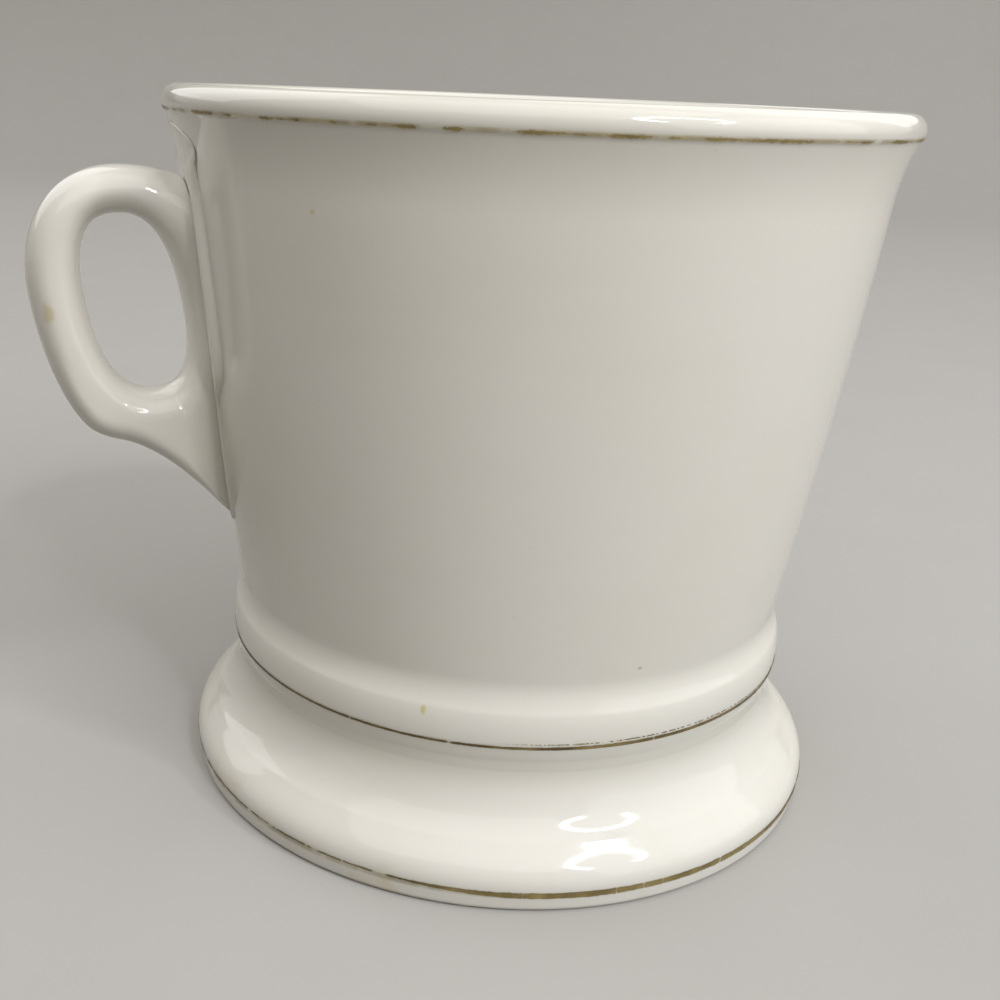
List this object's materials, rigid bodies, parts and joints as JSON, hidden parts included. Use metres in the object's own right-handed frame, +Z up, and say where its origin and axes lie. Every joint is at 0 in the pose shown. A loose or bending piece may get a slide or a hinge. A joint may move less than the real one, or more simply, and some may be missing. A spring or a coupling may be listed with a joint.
{
  "type": "shaving mug",
  "caption": "Footed porcelain shaving mug with a flared, rolled lip, waist bead, hollow pedestal foot, closed loop handle and worn gilt lines; holds soap and lather.",
  "frame": {"origin": "centre of the flat of the foot ring, on the bowl's axis", "axes": "+Z up along the bowl's axis, handle along -X, the mug is symmetric about the XZ plane"},
  "size_m": [0.1088, 0.0924, 0.089],
  "materials": {
    "glazed_porcelain": "glossy clear glaze over warm white porcelain",
    "slip": "porcelain slip under the same clear glaze",
    "gilding": "thin, worn and darkened fired gold"
  },
  "bodies": {
    "root": {"bowl": "glazed_porcelain", "pedestal_foot": "glazed_porcelain", "foot_slip_joint": "slip", "handle": "glazed_porcelain", "handle_slip_seam": "slip", "lip_gilding": "gilding", "waist_gilding": "gilding", "foot_gilding": "gilding"}
  },
  "joints": []
}
